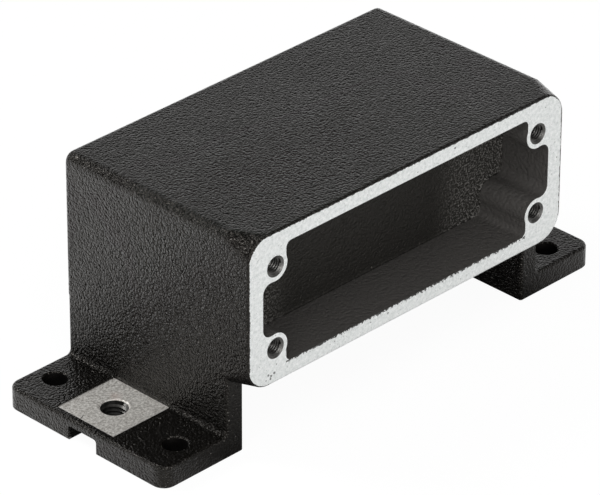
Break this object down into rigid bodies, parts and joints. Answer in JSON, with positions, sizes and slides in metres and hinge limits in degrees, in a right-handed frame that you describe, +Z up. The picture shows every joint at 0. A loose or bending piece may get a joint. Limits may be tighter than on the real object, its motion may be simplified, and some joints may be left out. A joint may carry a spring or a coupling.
{
  "type": "surface-mount connector housing",
  "caption": "Empty cast housing for a heavy duty rectangular connector: a low box with a shallow mouth, raised on two legs with screw flanges.",
  "frame": {"origin": "centre of the four foot holes, on the mounting surface", "axes": "+X along the long side of the box, +Y from the mouth towards the back, +Z up, away from the mounting surface"},
  "size_m": [0.173, 0.0716, 0.0707],
  "materials": {
    "powder_coat": "textured satin"
  },
  "bodies": {
    "root": {"housing": "powder_coat"}
  },
  "joints": []
}
